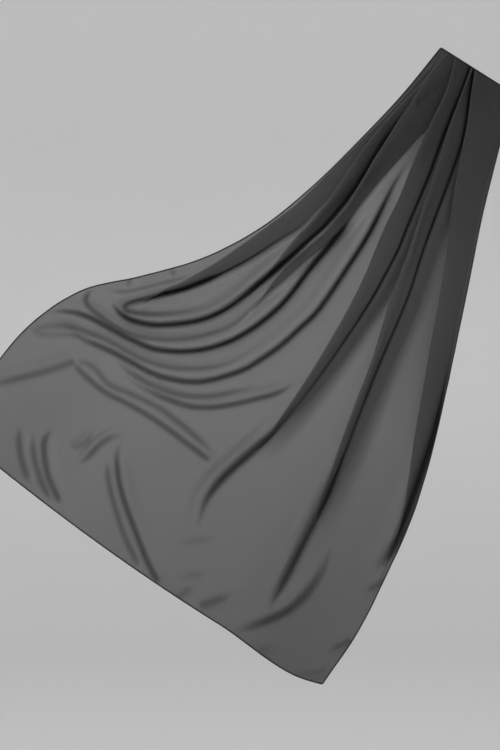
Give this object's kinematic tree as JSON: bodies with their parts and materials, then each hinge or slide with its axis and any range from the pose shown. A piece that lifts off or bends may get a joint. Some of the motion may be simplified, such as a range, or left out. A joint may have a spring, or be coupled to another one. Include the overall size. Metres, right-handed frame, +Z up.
{
  "type": "hijab headscarf",
  "caption": "Sheer rectangular headscarf in dark grey chiffon with rolled hems, gathered into laid folds at its held short hem and blown out to one side",
  "frame": {"origin": "middle of the gathered top hem, where the scarf is held", "axes": "+Z up, +X towards the scarf's right side as the picture shows it, -Y towards the viewer, whom the laid folds face"},
  "size_m": [0.8992, 0.1385, 1.0238],
  "materials": {
    "chiffon": "sheer crepe chiffon, matt with a faint sheen, dark grey, darker where layers overlap",
    "rolled_hem": "the same chiffon rolled tight and sewn, nearly opaque, dark grey"
  },
  "bodies": {
    "root": {"scarf_panel": "chiffon", "hem_top": "rolled_hem", "hem_left": "rolled_hem", "hem_right": "rolled_hem", "hem_bottom": "rolled_hem"}
  },
  "joints": []
}
